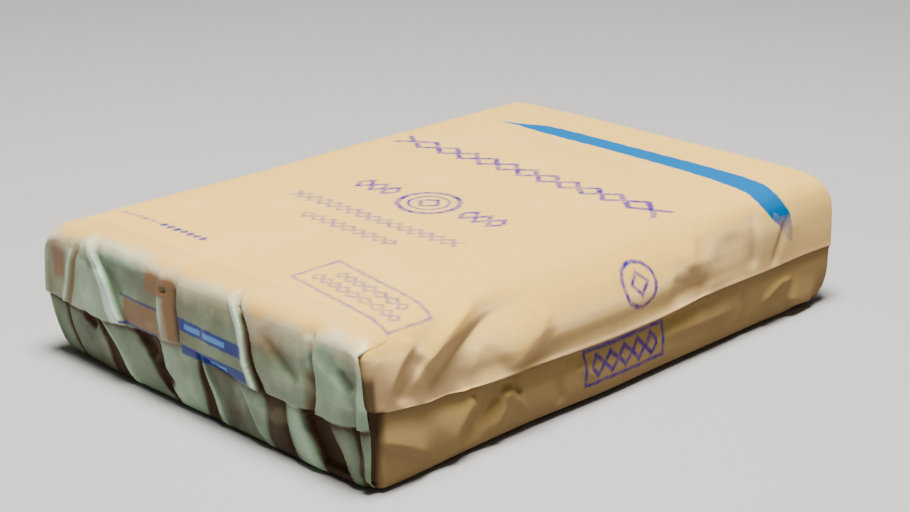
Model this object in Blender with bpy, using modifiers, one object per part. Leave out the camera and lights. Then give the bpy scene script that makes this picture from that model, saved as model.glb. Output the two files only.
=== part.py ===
"""A filled paper cement sack, lying flat, with a sheet pasted over each short end.

X runs along the sack from the near end to the far end, Y across it and Z up. The origin is on the floor under the
middle of the sack. Everything is in metres.
"""

import math

import bmesh
import bpy
import numpy as np
from mathutils import Vector

# Driving dimensions
LENGTH = 0.510
WIDTH = 0.362
HEIGHT = 0.110
FOLD_HEIGHT = 0.047
FOLD_RISE_AT_CORNER = 0.009
FOLD_RISE_REACH = 0.045
SIDE_BOW = 0.003
BOTTOM_CORNER_TUCK = 0.003
TOP_CORNER_DROP = 0.001

# The pasted sheets
COVER_THICKNESS = 0.0007
PASTE_GAP = 0.0003
COVER_FACING = 0.40
COVER_LOWEST_EDGE = 0.004

# Each ring of the cage from the floor up, with how far it lies inside the fold on a long side and on a short end
RING_HEIGHTS = (0.0, 0.008, 0.036, FOLD_HEIGHT, 0.060, 0.090, HEIGHT)
LONG_SIDE_INSETS = (0.008, 0.0030, 0.0030, 0.0, 0.0010, 0.0040, 0.013)
SHORT_END_INSETS = (0.006, 0.0025, 0.0025, 0.0, 0.0005, 0.0012, 0.006)
SHOULDER_DROP = 0.0012

# Where the cage is cut along half the length and half the width, as shares of each half
LENGTH_CUTS = (0.0, 0.5, 0.93)
WIDTH_CUTS = (0.26, 0.74)

FOLD_SHARPNESS = 1.0
CORNER_SHARPNESS = 0.8
SMOOTHING_LEVELS = 2

BODY_LENGTH = LENGTH - 2 * (COVER_THICKNESS + PASTE_GAP)
HALF = Vector((BODY_LENGTH / 2, WIDTH / 2, HEIGHT))
NEAR = 1e-6


def clear_scene():
    for old in list(bpy.data.objects):
        bpy.data.objects.remove(old, do_unlink=True)


def make_collection(name):
    collection = bpy.data.collections.new(name)
    bpy.context.scene.collection.children.link(collection)
    return collection


def paper(name, colour, roughness):
    material = bpy.data.materials.new(name)
    material.use_nodes = True
    shader = material.node_tree.nodes["Principled BSDF"]
    shader.inputs["Base Color"].default_value = (*colour, 1.0)
    shader.inputs["Roughness"].default_value = roughness
    shader.inputs["Metallic"].default_value = 0.0
    return material


def add_object(name, mesh, material, collection):
    mesh.materials.clear()
    mesh.materials.append(material)
    made = bpy.data.objects.new(name, mesh)
    collection.objects.link(made)
    return made


def both_sides(shares):
    return sorted({side * share for share in shares for side in (-1, 1)})


def cut_loops(bm, axis, places):
    """Cuts a loop of edges round the cage at each place along the axis."""
    normal = Vector([float(axis == i) for i in range(3)])
    for place in places:
        geometry = bm.verts[:] + bm.edges[:] + bm.faces[:]
        bmesh.ops.bisect_plane(bm, geom=geometry, plane_co=normal * place, plane_no=normal)


def on_short_end(point):
    return abs(abs(point.x) - HALF.x) < NEAR


def on_long_side(point):
    return abs(abs(point.y) - HALF.y) < NEAR


def inset_at(height, insets):
    return float(np.interp(height, RING_HEIGHTS, insets))


def placed(point):
    """Moves a point of the plain box to its place on the sack."""
    on_end, on_side = on_short_end(point), on_long_side(point)
    above_fold = max(0.0, (point.z - FOLD_HEIGHT) / (HEIGHT - FOLD_HEIGHT))
    below_fold = max(0.0, 1 - point.z / FOLD_HEIGHT)
    corner_tuck = BOTTOM_CORNER_TUCK * below_fold if on_end and on_side else 0.0
    from_corner = (HALF.x - abs(point.x)) if on_side else (HALF.y - abs(point.y))
    moved = point.copy()
    if on_end:
        moved.x -= math.copysign(inset_at(point.z, SHORT_END_INSETS) + corner_tuck, point.x)
    if on_side:
        bow = SIDE_BOW * (point.x / HALF.x) ** 2
        moved.y -= math.copysign(inset_at(point.z, LONG_SIDE_INSETS) + bow + corner_tuck, point.y)
    if on_end or on_side:
        near_corner = math.exp(-from_corner / FOLD_RISE_REACH)
        moved.z += FOLD_RISE_AT_CORNER * near_corner * (1 - above_fold) * (1 - below_fold)
        if point.z > HEIGHT - NEAR:
            moved.z -= SHOULDER_DROP + TOP_CORNER_DROP * near_corner
    return moved


def sharpen(bm):
    """Marks the fold as a sharp crease and the four upright corners as half-sharp ones."""
    crease = bm.edges.layers.float.new("crease_edge")
    for edge in bm.edges:
        ends = [vert.co for vert in edge.verts]
        if all(abs(end.z - FOLD_HEIGHT) < NEAR for end in ends):
            edge[crease] = FOLD_SHARPNESS
        elif all(on_short_end(end) and on_long_side(end) for end in ends):
            edge[crease] = CORNER_SHARPNESS


def make_sack_body(material, collection):
    """The filled sack: a box cut into rings, pulled in above and below the fold, and smoothed."""
    bm = bmesh.new()
    bmesh.ops.create_cube(bm, size=1.0)
    for vert in bm.verts:
        vert.co = Vector((2 * vert.co.x * HALF.x, 2 * vert.co.y * HALF.y, (vert.co.z + 0.5) * HALF.z))
    cut_loops(bm, 0, [share * HALF.x for share in both_sides(LENGTH_CUTS)])
    cut_loops(bm, 1, [share * HALF.y for share in both_sides(WIDTH_CUTS)])
    cut_loops(bm, 2, RING_HEIGHTS[1:-1])
    sharpen(bm)
    for vert in bm.verts:
        vert.co = placed(vert.co)
    mesh = bpy.data.meshes.new("sack_body")
    bm.to_mesh(mesh)
    bm.free()
    body = add_object("sack_body", mesh, material, collection)
    smooth = body.modifiers.new("smooth", "SUBSURF")
    smooth.levels = SMOOTHING_LEVELS
    smooth.render_levels = SMOOTHING_LEVELS
    mesh.shade_smooth()
    return body


def covered(face, side):
    """Whether a face of the smoothed body is on the short end at +X or -X and clear of the floor."""
    return face.normal.x * side > COVER_FACING and min(vert.co.z for vert in face.verts) > COVER_LOWEST_EDGE


def make_end_cover(name, side, body, material, collection):
    """A sheet pasted over one end: the body's own end faces, lifted off by the paste and given a thickness."""
    evaluated = body.evaluated_get(bpy.context.evaluated_depsgraph_get())
    mesh = bpy.data.meshes.new_from_object(evaluated)
    mesh.name = name
    bm = bmesh.new()
    bm.from_mesh(mesh)
    bare = [face for face in bm.faces if not covered(face, side)]
    bmesh.ops.delete(bm, geom=bare, context="FACES")
    bm.normal_update()
    lifted = {vert: vert.co + vert.normal * PASTE_GAP for vert in bm.verts}
    for vert, place in lifted.items():
        vert.co = place
    bm.to_mesh(mesh)
    bm.free()
    cover = add_object(name, mesh, material, collection)
    sheet = cover.modifiers.new("sheet", "SOLIDIFY")
    sheet.thickness = COVER_THICKNESS
    sheet.offset = 1.0
    sheet.use_even_offset = True
    return cover


def main():
    clear_scene()
    collection = make_collection("cement_sack")
    kraft = paper("kraft_paper", (0.70, 0.54, 0.36), 0.80)
    coated = paper("grey_green_coated_paper", (0.32, 0.38, 0.30), 0.45)
    body = make_sack_body(kraft, collection)
    bpy.context.view_layer.update()
    make_end_cover("near_end_cover", -1, body, coated, collection)
    make_end_cover("far_end_cover", 1, body, kraft, collection)


main()
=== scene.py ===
# %% [markdown]
# # A filled cement sack
# The object is a multi-ply kraft paper sack, filled with cement powder and lying flat. Its two short ends
# were folded shut and pasted over with a sheet of paper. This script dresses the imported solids: it works
# out the paper's shape with numpy, gives each paper its finish with shader nodes, and places plain studio
# light and the camera.

# %% Load the frame
import math

import bpy
import numpy as np
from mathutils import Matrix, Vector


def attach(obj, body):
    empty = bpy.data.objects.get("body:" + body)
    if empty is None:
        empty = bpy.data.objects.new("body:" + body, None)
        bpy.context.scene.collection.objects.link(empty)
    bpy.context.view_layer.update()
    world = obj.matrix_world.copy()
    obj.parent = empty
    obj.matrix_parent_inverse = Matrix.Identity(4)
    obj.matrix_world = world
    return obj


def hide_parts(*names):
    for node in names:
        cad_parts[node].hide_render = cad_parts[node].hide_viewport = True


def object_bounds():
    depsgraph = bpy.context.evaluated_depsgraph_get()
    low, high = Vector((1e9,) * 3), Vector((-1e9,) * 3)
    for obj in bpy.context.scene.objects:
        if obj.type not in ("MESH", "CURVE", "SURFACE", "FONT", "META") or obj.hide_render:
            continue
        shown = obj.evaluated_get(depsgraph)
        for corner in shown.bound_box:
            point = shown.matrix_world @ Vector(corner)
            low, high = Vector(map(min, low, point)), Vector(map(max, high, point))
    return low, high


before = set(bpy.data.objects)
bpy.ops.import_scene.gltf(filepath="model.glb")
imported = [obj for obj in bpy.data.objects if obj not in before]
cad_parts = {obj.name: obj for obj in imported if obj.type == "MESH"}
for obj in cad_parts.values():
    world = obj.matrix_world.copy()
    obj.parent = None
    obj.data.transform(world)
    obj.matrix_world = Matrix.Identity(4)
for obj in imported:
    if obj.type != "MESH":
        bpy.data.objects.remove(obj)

cad_bounds = [list(corner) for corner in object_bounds()]
LENGTH, WIDTH, HEIGHT = np.round((np.array(cad_bounds[1]) - cad_bounds[0]) * 1000, 1)
MM = 0.001
print("the solids measure", LENGTH, WIDTH, HEIGHT, "mm")

# %% [markdown]
# The camera comes first, because it decides what the rest has to show. Its place was found by laying the
# solids' outline over the outline of the sack: it looks down at 19 degrees onto the corner between the
# near end and a long side, with a lens of about 76 mm.

# %% Camera
IMAGE_WIDTH_PX = 910
FOCAL_PX = 1912.6
SENSOR_MM = 36.0
AZIMUTH, ELEVATION = math.radians(-45.26), math.radians(19.44)
DISTANCE, SIDEWAYS, UPWARDS = 1.502, 0.0013, 0.0543

back = np.array([math.sin(AZIMUTH), -math.cos(AZIMUTH), 0.0]) * math.cos(ELEVATION)
back[2] = math.sin(ELEVATION)
right = np.cross([0.0, 0.0, 1.0], back)
right /= np.linalg.norm(right)
upward = np.cross(back, right)
camera_data = bpy.data.cameras.new("camera")
camera_data.lens = FOCAL_PX / IMAGE_WIDTH_PX * SENSOR_MM
camera_data.sensor_width = SENSOR_MM
camera = bpy.data.objects.new("camera", camera_data)
camera.location = back * DISTANCE + right * SIDEWAYS + upward * UPWARDS
camera.rotation_euler = (math.pi / 2 - ELEVATION, 0.0, AZIMUTH)
bpy.context.scene.collection.objects.link(camera)
bpy.context.scene.camera = camera
print("camera at", np.round(camera.location, 3), "lens", round(camera_data.lens, 1), "mm")

# %% [markdown]
# A full sack has nearly the same outline all along: flat below, a fold at under half its height where the
# flat paper tube was pressed, and a soft shoulder. So the body is a profile carried along the sack. A
# profile is a smooth curve through a few points, from the middle of the bottom out to the fold and from
# the fold to the middle of the top.

# %% Curves through points
def curve_through(points, where):
    """Each stretch is a cubic that leaves a point along the line between that point's two neighbours.
    where is 0 at the first point, 1 at the second, and so on."""
    points = np.array(points, float)
    padded = np.concatenate([[2 * points[0] - points[1]], points, [2 * points[-1] - points[-2]]])
    left = np.clip(np.floor(where).astype(int), 0, len(points) - 2)
    t = (where - left)[:, None]
    a, b, c, d = (padded[left + k] for k in range(4))
    return b + 0.5 * t * (c - a + t * (2 * a - 5 * b + 4 * c - d + t * (3 * (b - c) + d - a)))


def even_steps(points, start, end, cells):
    """Places from point number start to point number end of a curve, evenly spaced along its length."""
    fine = np.linspace(start, end, 400)
    steps = np.linalg.norm(np.diff(curve_through(points, fine), axis=0), axis=1)
    length = np.concatenate([[0.0], np.cumsum(steps)])
    return np.interp(np.linspace(0.0, length[-1], cells + 1), length, fine)


def smooth_step(value, low, high):
    """0 below low, 1 above high, and the S-shaped cubic 3t^2 - 2t^3 between them."""
    t = np.clip((value - low) / (high - low), 0.0, 1.0)
    return t * t * (3.0 - 2.0 * t)


def bump(x, y, middle, reach):
    """The bell curve exp(-d^2), with d the distance from the middle in reaches."""
    return np.exp(-((x - middle[0]) / reach[0]) ** 2 - ((y - middle[1]) / reach[1]) ** 2)


# %% Half profiles: mm out from the middle, mm up from the floor
FOLD = 47.0
LOWER_MIDDLE = [(0, 0), (80, 0), (150, 0), (165, 0.8), (173.5, 5), (176.5, 14), (177.0, 26), (175.6, 37),
                (174.8, 43.0), (177.6, 45.7), (181, FOLD)]
LOWER_NEAR_END = [(0, 0), (80, 0), (152, 0), (167, 0.6), (173, 4), (175.4, 13), (176.8, 26), (177.2, 37),
                  (177.6, 43.0), (178.3, 45.7), (179, FOLD)]
LOWER_FAR_END = [(0, 0), (80, 0), (152, 0), (167, 0.6), (173.5, 4), (176.8, 13), (177.8, 26), (177.8, 37),
                 (177.8, 43.0), (178.2, 45.7), (179, FOLD)]
UPPER_MIDDLE = [(181, FOLD), (180.0, 50.4), (179.3, 57), (179.8, 65), (177.2, 74), (170.5, 83.5), (161, 93),
                (149, 101.5), (128, 107.6), (90, 110), (0, 110)]
UPPER_FAR_END = [(179, FOLD), (178.7, 50), (178.5, 57), (178.2, 67), (177.5, 78), (175.6, 88), (171.6, 97),
                 (163.8, 103.6), (147, 107.3), (90, 108.7), (0, 109.2)]
UPPER_NEAR_END = [(179, FOLD), (178.8, 50), (178.2, 57), (177.5, 67), (176.6, 78), (174.8, 89),
    (170.4, 98.2), (161.5, 104.6), (142, 107.8), (90, 109.2), (0, 109.6)]
UPPER_BEHIND = [(180.5, FOLD), (180.2, 50), (179.6, 57), (179, 67), (178, 78), (175.5, 90), (169.5, 100),
                (157, 106.8), (135, 109.6), (90, 110), (0, 110)]
BOTTOM_CORNER, SHOULDER = 4, 6


def ring_places(lower_cells, upper_cells, broad_cells):
    """Places on a lower and an upper half profile, from the middle of the bottom to the middle of the
    top."""
    lower = np.concatenate([
        even_steps(LOWER_MIDDLE, 0, BOTTOM_CORNER, broad_cells)[:-1],
        even_steps(LOWER_MIDDLE, BOTTOM_CORNER, len(LOWER_MIDDLE) - 1, lower_cells)])
    upper = np.concatenate([
        even_steps(UPPER_MIDDLE, 0, SHOULDER, upper_cells)[1:],
        even_steps(UPPER_MIDDLE, SHOULDER, len(UPPER_MIDDLE) - 1, broad_cells)[1:]])
    return lower, upper


def ring_of(lower_points, upper_points, places, upper_behind=None):
    """A closed profile: from the middle of the bottom out to -Y, up, over the top, and down and back on
    +Y."""
    lower = curve_through(lower_points, places[0])
    front = np.concatenate([lower, curve_through(upper_points, places[1])])
    behind = np.concatenate([lower, curve_through(upper_behind or upper_points, places[1])])
    return np.concatenate([front * (-1, 1), behind[-2:0:-1]])


def girth_of(ring):
    """The distance along the paper from the middle of the top, in mm, negative towards -Y."""
    steps = np.linalg.norm(np.diff(ring, axis=0, append=ring[:1]), axis=1)
    run = np.concatenate([[0.0], np.cumsum(steps)])
    return run - run[len(ring) // 2]


BODY_CELLS = (30, 34, 44)
reference = ring_of(LOWER_MIDDLE, UPPER_MIDDLE, ring_places(*BODY_CELLS))
girth = girth_of(reference)
fold_column = BODY_CELLS[2] + BODY_CELLS[0]
FOLD_GIRTH = -girth[fold_column]
print("paper round the sack", round(girth[-1] - girth[0]), "mm")
print("of that over the top", round(2 * FOLD_GIRTH), "mm")

# %% [markdown]
# The side folds of the real sack are not level: they climb to the near corner. The ends also lean in a
# little, the bottom corners are tucked, and the paper turns over to the ends round a small radius. All of
# that is one function from a place on the skin to a point, so that the body and the two end covers are
# cut from the same skin.

# %% The skin as one function
FOLD_HEIGHTS_FRONT = [(-255, 61), (-243, 58), (-228, 56), (-213, 54), (-190, 51), (-150, 49.5), (-80, 48),
    (-16, 46.5), (38, 47), (98, 50), (171, 49), (210, 50), (255, 49)]
FOLD_HEIGHTS_BEHIND = [(-255, 52), (-200, 48), (-120, 46), (-20, 48), (80, 47), (160, 49), (255, 53)]
# height, and how far the end stands in from the sack's full length there
END_INSETS = [(0, 8), (5, 5), (12, 4), (40, 3.4), (48, 2.4), (60, 2.2), (90, 2.4), (102, 3.2), (110, 4)]
# height, and the radius of the turn to the end there; the near corner at -Y is rounder by CORNER_ROUNDING
RIM_RADII = [(0, 6), (20, 4.5), (85, 4.5), (96, 8), (103, 12), (110, 14)]
CORNER_ROUNDING = 5.0
# how far the foot of the wall stands in: x or y along the wall, mm inwards
FRONT_FOOT = [(-255, 2), (-225, 3.5), (-160, 0.5), (-100, 0), (-20, 3), (40, 1), (110, 0), (160, -1.5),
              (255, 0)]
NEAR_FOOT = [(-180, 0), (-110, 2), (-20, 0), (40, -1.5), (110, -2.5), (180, 0)]
# how far from the middle a profile begins to change into its end's, and where it has changed
NEAR_BLEND, FAR_BLEND = (70, 245), (10, 200)
# middle (x, y), reach and depth of the hollows where the powder has settled
TOP_DENTS = [((-60, 175), (80, 60), 1.6), ((120, -60), (70, 50), 1.4), ((-70, -30), (60, 45), 1.0),
             ((235, 0), (60, 120), 0.8)]
# how far two corners of the foot are tucked in, and how high the tuck at the far one reaches
CORNER_PULL_NEAR, CORNER_PULL_FAR, FAR_PULL_TOP = 7, 4, 32
QUARTER = math.pi / 2


def table_at(table, where, blur):
    """Straight lines through a table of pairs, averaged over five places blur apart, which rounds its
    corners."""
    x, y = np.array(table, float).T
    return sum(np.interp(where + step * blur, x, y) for step in (-2, -1, 0, 1, 2)) / 5


def skin(ring_set, along, turn):
    """A point for each row and each column of the ring, in mm. along is -1 at the near end and 1 at the
    far end of the flat part of the skin. turn is the angle by which the skin has turned over the rim: x
    goes on by radius * sin(turn) and the profile shrinks by radius * (1 - cos(turn))."""
    middle, far, near, inward = ring_set
    x = along * LENGTH / 2
    end_share = np.where(x < 0, smooth_step(-x, *NEAR_BLEND), smooth_step(x, *FAR_BLEND))[..., None]
    section = middle + end_share * (np.where(x[..., None] < 0, near, far) - middle)
    radius = np.interp(section[..., 1], *np.array(RIM_RADII, float).T)
    at_corner = smooth_step(-section[..., 0], 150, 172) * smooth_step(-x, 200, 240)
    radius = radius + CORNER_ROUNDING * at_corner * (1 - smooth_step(section[..., 1], 84, 96))
    reach = LENGTH / 2 - np.interp(section[..., 1], *np.array(END_INSETS, float).T) - radius
    x = along * reach + np.sign(along) * radius * np.sin(turn)
    section = section + inward * (radius * (1 - np.cos(turn)))[..., None]
    return settle(x, section[..., 0], section[..., 1])


def settle(x, y, z):
    """Moves the points of the plain skin to where the weight of the powder and the handling have left
    them."""
    front, behind = table_at(FOLD_HEIGHTS_FRONT, x, 5) - FOLD, table_at(FOLD_HEIGHTS_BEHIND, x, 12) - FOLD
    lift = behind + (front - behind) * smooth_step(-y, -60, 60)
    z = z + lift * np.where(z < FOLD, z / FOLD, (HEIGHT - z) / (HEIGHT - FOLD))
    dented = sum(depth * bump(x, y, middle, reach) for middle, reach, depth in TOP_DENTS)
    z = z - smooth_step(z, 60, 105) * dented
    low = np.clip((FOLD - z) / FOLD, 0, 1)
    x = x - low * table_at(NEAR_FOOT, y, 6) * smooth_step(-x, 200, 250)
    y = y - low * table_at(FRONT_FOOT, x, 6) * smooth_step(-y, 120, 175)
    behind_near = low ** 1.5 * smooth_step(-x, 150, 255) * smooth_step(y, 90, 180)
    front_far = np.clip(1 - z / FAR_PULL_TOP, 0, 1) ** 2
    front_far = front_far * smooth_step(x, 190, 255) * smooth_step(-y, 130, 180)
    pull = CORNER_PULL_NEAR * behind_near - CORNER_PULL_FAR * front_far
    return np.stack([x + pull, y - pull, z], axis=-1)


def smoothed(values, times):
    """Each row of a closed ring averaged with its neighbours, several times over."""
    for _ in range(times):
        values = (np.roll(values, 1, axis=0) + 2 * values + np.roll(values, -1, axis=0)) / 4
    return values


def ring_set_of(places):
    """The three profiles, and for each of their points the direction inwards, with the sharp fold
    averaged away."""
    middle = ring_of(LOWER_MIDDLE, UPPER_MIDDLE, places, UPPER_BEHIND)
    far = ring_of(LOWER_FAR_END, UPPER_FAR_END, places)
    near = ring_of(LOWER_NEAR_END, UPPER_NEAR_END, places)
    ahead = np.roll(near, -1, axis=0) - np.roll(near, 1, axis=0)
    inward = smoothed(ahead[:, ::-1] * (1, -1) / np.linalg.norm(ahead, axis=1)[:, None], 24)
    return middle, far, near, inward / np.linalg.norm(inward, axis=1)[:, None]


# next to the near end, as far as FINE_TO, the rows lie closer together
LONG_CELLS, FINE_CELLS, FINE_TO, RIM_CELLS = 236, 23, -0.92, 5
body_rings = ring_set_of(ring_places(*BODY_CELLS))
turns = np.linspace(0, QUARTER, RIM_CELLS + 1)[1:]
wall = np.concatenate([np.linspace(-1, FINE_TO, FINE_CELLS + 1),
                       np.linspace(FINE_TO, 1, LONG_CELLS - FINE_CELLS + 1)[1:]])
row_along = np.concatenate([np.full(RIM_CELLS, -1.0), wall, np.full(RIM_CELLS, 1.0)])[:, None]
row_turn = np.concatenate([turns[::-1], 0 * wall, turns])[:, None]
plain_body = skin(body_rings, np.broadcast_to(row_along, (len(row_along), len(girth) - 1)), row_turn)
print("body skin", plain_body.shape, "as far as", plain_body.max((0, 1)).round(1), "mm")

# %% [markdown]
# Full paper doesn't stretch, so what doesn't fit goes into creases. They could be simulated, but the
# creases of one certain sack have to be where they are on it, so each is listed one by one: a line drawn
# on the long side, with a depth, and how far the paper slopes on either side of the line. Soft dents are
# bell curves. The side that nobody sees gets creases of the same kind at seeded random places.

# %% Creases and dents, in mm
CREASE_FADE = 0.25


def place_on_side(x, z):
    """Distance up the paper from the fold for a point seen at x along the side and z above the floor."""
    fold = table_at(FOLD_HEIGHTS_FRONT, x, 5)
    level = np.where(z < fold, z * FOLD / fold, HEIGHT - (HEIGHT - z) * (HEIGHT - FOLD) / (HEIGHT - fold))
    front = slice(BODY_CELLS[2], len(reference) // 2)
    return np.interp(level, reference[front, 1], girth[front]) + FOLD_GIRTH


def crease_along(x, up, line, left, right):
    """(1 - distance from the line / reach)^1.5, with one reach on the left of the line and one on its
    right, rounded over the last mm. The crease fades out over the share CREASE_FADE of its length at both
    ends."""
    drawn = curve_through(line, np.linspace(0, len(line) - 1, 13))
    shape = np.zeros(x.shape)
    margin = max(left, right) + 2
    close = np.all([x > drawn[:, 0].min() - margin, x < drawn[:, 0].max() + margin,
                    up > drawn[:, 1].min() - margin, up < drawn[:, 1].max() + margin], axis=0)
    point = np.stack([x[close], up[close]], 1)[:, None]
    start, run = drawn[:-1], np.diff(drawn, axis=0)
    share = np.clip(((point - start) * run).sum(-1) / (run ** 2).sum(-1), 0, 1)
    away = point - start - share[..., None] * run
    nearest = np.argmin((away ** 2).sum(-1), axis=1)
    pick = np.arange(len(nearest))
    share, away, run = share[pick, nearest], away[pick, nearest], run[nearest]
    reach = np.where(run[:, 0] * away[:, 1] - run[:, 1] * away[:, 0] > 0, left, right)
    distance = np.sqrt((away ** 2).sum(-1) + 1.0) - 1.0
    along = (nearest + share) / len(start)
    ends = smooth_step(along, -0.02, CREASE_FADE) * smooth_step(1 - along, -0.02, CREASE_FADE)
    shape[close] = np.clip(1 - distance / reach, 0, 1) ** 1.5 * ends
    return shape


def side_crease(x, up, line, height, left, right):
    """A crease on the long side: its line is given as x and the height above the floor."""
    line = np.array(line, float)
    return height * crease_along(x, up, np.stack([line[:, 0], place_on_side(*line.T)], 1), left, right)


# line of (x, z), height, reach on the left and on the right of somebody walking along the line
FRONT_CREASES = [
    ([(-128, 103), (-150, 97), (-172, 90), (-190, 83), (-205, 75), (-214, 68), (-219, 61)], 4.5, 17, 13),
    ([(-88, 89), (-110, 91), (-131, 90), (-150, 85), (-168, 77), (-184, 68), (-196, 61), (-207, 55)],
     -5.0, 44, 15),
    ([(-202, 82), (-209, 76), (-216, 70), (-223, 65), (-229, 59)], -3.2, 14, 12),
    ([(-208, 94), (-214, 89), (-222, 83), (-232, 74), (-239, 61)], 2.0, 9, 14),
    ([(-80, 84), (-91, 76), (-108, 67), (-117, 61), (-127, 52)], 3.5, 12, 40),
    ([(-140, 82), (-147, 75), (-156, 67), (-164, 55)], 0.7, 10, 12),
    ([(88, 98), (82, 90), (74, 81), (66, 72)], 2.4, 13, 26),
    ([(44, 70), (60, 65), (78, 60), (94, 52)], -2.1, 18, 18),
    ([(152, 97), (150, 84), (148, 68), (147, 54)], -1.9, 8, 14),
    ([(190, 84), (182, 71), (175, 61), (170, 51)], -1.6, 8, 4),
    ([(-156, 43), (-162, 39), (-169, 33), (-177, 23), (-184, 5)], 3.6, 13, 24),
    ([(-130, 39), (-137, 35), (-148, 28), (-158, 19), (-166, 5)], -3.6, 11, 14),
    ([(-127, 38), (-129, 32), (-133, 21), (-146, 10)], 2.0, 6, 10),
    ([(-134, 35), (-126, 36), (-119, 32), (-106, 14)], 2.2, 5, 9),
    ([(-115, 46), (-115, 38), (-114, 30)], -2.4, 5, 5),
    ([(-72, 44), (-72, 26), (-70, 8)], -2.2, 5, 9),
    ([(-250, 40), (-232, 33), (-217, 26), (-196, 15)], 3.0, 16, 7),
    ([(-56, 34), (-46, 27), (-34, 20)], 1.4, 10, 6),
    ([(28, 31), (60, 30), (90, 29), (130, 28)], 1.8, 14, 9),
    ([(134, 40), (140, 24), (137, 6)], -1.4, 8, 8),
    ([(160, 20), (172, 29), (186, 34), (202, 33)], 2.4, 5, 9),
    ([(194, 20), (212, 13), (238, 9)], 4.0, 18, 6),
    ([(190, 32), (184, 24), (186, 14)], -1.2, 4, 6),
]
# middle (x, distance up the paper from the fold), reach and height
FRONT_DENTS = [((-196, 30), (40, 26), -2.0), ((-96, 6), (30, 7), -1.6), ((-30, 8), (60, 6), -0.8),
               ((50, 9), (34, 7), -1.8), ((112, 30), (26, 18), -1.6), ((-20, 44), (70, 20), 1.4),
               ((200, -8), (60, 6), -0.8), ((-150, -10), (60, 7), -1.0), ((122, 30), (24, 16), -2.4)]


def front_relief(x, up):
    """Everything that stands out of or into the long side, as the sum of its creases and dents."""
    relief = sum(side_crease(x, up, *each) for each in FRONT_CREASES)
    return relief + sum(height * bump(x, up, middle, reach) for middle, reach, height in FRONT_DENTS)


def random_relief(x, up, seed, count):
    """The same kinds of crease at random: slanting, next to the side fold, on both of the side's panels."""
    random = np.random.default_rng(seed)
    relief = 0.0 * x
    for _ in range(count):
        start, lean = random.uniform(-225, 225), random.uniform(-34, 34)
        top, foot = (random.uniform(72, 103), 51) if random.random() < 0.6 else (43, random.uniform(4, 26))
        line = [(start, top), (start + lean * 0.4, 0.6 * top + 0.4 * foot), (start + lean, foot)]
        height, left, right = random.uniform(-4.2, 2.8), random.uniform(6, 14), random.uniform(8, 24)
        relief += side_crease(x, up, line, height, left, right)
    return relief


column = np.arange(plain_body.shape[1])
up_side = np.broadcast_to(FOLD_GIRTH - np.abs(girth[:-1]), plain_body.shape[:2])
on_front = np.broadcast_to(column < len(column) // 2, plain_body.shape[:2])
x_plain = plain_body[..., 0]
relief = np.where(on_front, front_relief(x_plain, up_side), random_relief(x_plain, up_side, 11, 48))
print("relief of the long sides from", relief.min().round(1), "to", relief.max().round(1), "mm")

# %% [markdown]
# Relief is a push along the surface's own normal. The normals come from the grid itself, as the cross
# product of its two directions. The push fades out before the rim, where the end covers hold the paper
# flat.

# %% Body surface
# a strip of the lower panel beside the near sheet is pressed in by this much
TUCK = 3.0


def normals_of(points):
    """Unit vectors that point out of a grid of points, from the differences along its rows and columns."""
    down_rows = np.gradient(points, axis=0)
    round_columns = np.roll(points, -1, axis=1) - np.roll(points, 1, axis=1)
    normal = np.cross(down_rows, round_columns)
    return normal / np.maximum(np.linalg.norm(normal, axis=-1, keepdims=True), 1e-9)


rim_fade = smooth_step(LENGTH / 2 - np.abs(x_plain), 5, 12)
floor_fade = smooth_step(plain_body[..., 2], 0.2, 6)
tuck = smooth_step(x_plain, -249, -245) * smooth_step(-x_plain, 239, 245) * smooth_step(-up_side, -2, 3)
tuck = TUCK * tuck * on_front
body_points = plain_body + normals_of(plain_body) * (relief * rim_fade * floor_fade - tuck)[..., None]
body_points[..., 2] = np.maximum(body_points[..., 2], 0.0)
print("body from", body_points.min((0, 1)).round(1), "to", body_points.max((0, 1)).round(1), "mm")

# %% [markdown]
# A ring of points is closed by a patch. It is a Coons patch: the blend of the ring's two sides, plus the
# blend of its bottom and top, minus the blend of the four corners, which were counted twice. Its edge is
# the ring itself, so the seam needs no welding.

# %% Patches and meshes
def corners_of(cells):
    """Column numbers at the four corners of the ring, from the foot at -Y up and round over the top."""
    lower_cells, upper_cells, broad_cells = cells
    side = lower_cells + upper_cells
    return np.cumsum([broad_cells, side, 2 * broad_cells, side])


def patch_edges(cells):
    """Column numbers of the ring along the patch's -Y side, top, +Y side and bottom, each towards +Z or
    +Y."""
    a, b, c, d = corners_of(cells)
    count = d + cells[2]
    return (np.arange(a, b + 1), np.arange(b, c + 1), np.arange(c, d + 1)[::-1],
            (np.arange(d, count + a + 1) % count)[::-1])


def patch_of(ring, cells):
    """The Coons patch inside a ring, as rows from the bottom to the top and columns from -Y to +Y."""
    front, top, behind, bottom = (ring[columns] for columns in patch_edges(cells))
    up = np.linspace(0, 1, len(front))[:, None, None]
    across = np.linspace(0, 1, len(top))[None, :, None]
    sides = (1 - across) * front[:, None] + across * behind[:, None]
    ends = (1 - up) * bottom[None] + up * top[None]
    corners = (1 - up) * ((1 - across) * bottom[0] + across * bottom[-1]) \
        + up * ((1 - across) * top[0] + across * top[-1])
    return sides + ends - corners


def patch_numbers(ring_start, inner_start, cells):
    """Vertex numbers of the patch: those of the ring on its edge, new ones inside."""
    front, top, behind, bottom = patch_edges(cells)
    numbers = np.zeros((len(front), len(top)), int)
    inside = (len(front) - 2, len(top) - 2)
    numbers[1:-1, 1:-1] = inner_start + np.arange(inside[0] * inside[1]).reshape(inside)
    numbers[:, 0], numbers[:, -1] = ring_start + front, ring_start + behind
    numbers[0], numbers[-1] = ring_start + bottom, ring_start + top
    return numbers


def cell_corners(grid):
    """What a grid holds at the four corners of each of its cells, in order round the cell."""
    return np.stack([grid[:-1, :-1], grid[1:, :-1], grid[1:, 1:], grid[:-1, 1:]], 2)


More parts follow.
